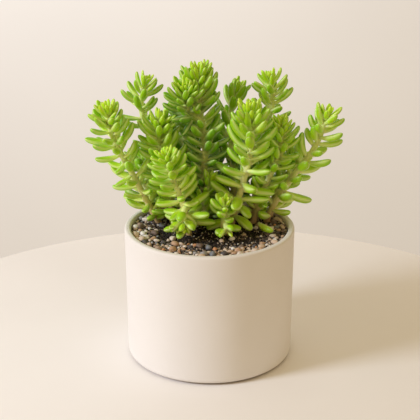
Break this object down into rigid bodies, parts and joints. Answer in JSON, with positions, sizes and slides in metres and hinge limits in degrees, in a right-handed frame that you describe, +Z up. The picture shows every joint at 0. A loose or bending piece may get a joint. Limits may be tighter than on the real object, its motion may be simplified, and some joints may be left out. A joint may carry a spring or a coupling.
{
  "type": "potted sedum",
  "caption": "Round matte ceramic pot with growing mix and gravel, planted with a clump of upright leafy succulent stems with finger-shaped leaves.",
  "frame": {"origin": "middle of the pot's flat base, on the surface it stands on", "axes": "+Z up, +X to the right and -Y to the front as the picture shows the plant"},
  "size_m": [0.1625, 0.1166, 0.1939],
  "materials": {
    "ceramic": "matte cream-white glaze-free ceramic, smooth",
    "growing_mix": "dark brown, crumbly and granular, with pale specks",
    "pebbles": "small rounded pebbles in tan, orange, pink, grey-blue and off-white, dull",
    "foliage": "bright yellow-green succulent leaves, satin and slightly translucent, on pale green stems that turn reddish brown below"
  },
  "bodies": {
    "root": {"pot": "ceramic", "soil": "growing_mix", "gravel": "pebbles", "fallen_leaf": "foliage", "stem_front_left": "foliage", "stem_right": "foliage", "stem_low_front": "foliage", "stem_far_left": "foliage", "stem_far_right": "foliage", "stem_left": "foliage", "stem_centre": "foliage", "stem_right_inner": "foliage", "stem_left_back": "foliage", "stem_right_back": "foliage", "stem_low_right": "foliage", "stem_back": "foliage", "stem_low_centre": "foliage", "stem_rear_left": "foliage", "stem_rear_mid_left": "foliage", "stem_rear_centre": "foliage", "stem_rear_mid_right": "foliage", "stem_rear_right": "foliage"}
  },
  "joints": []
}
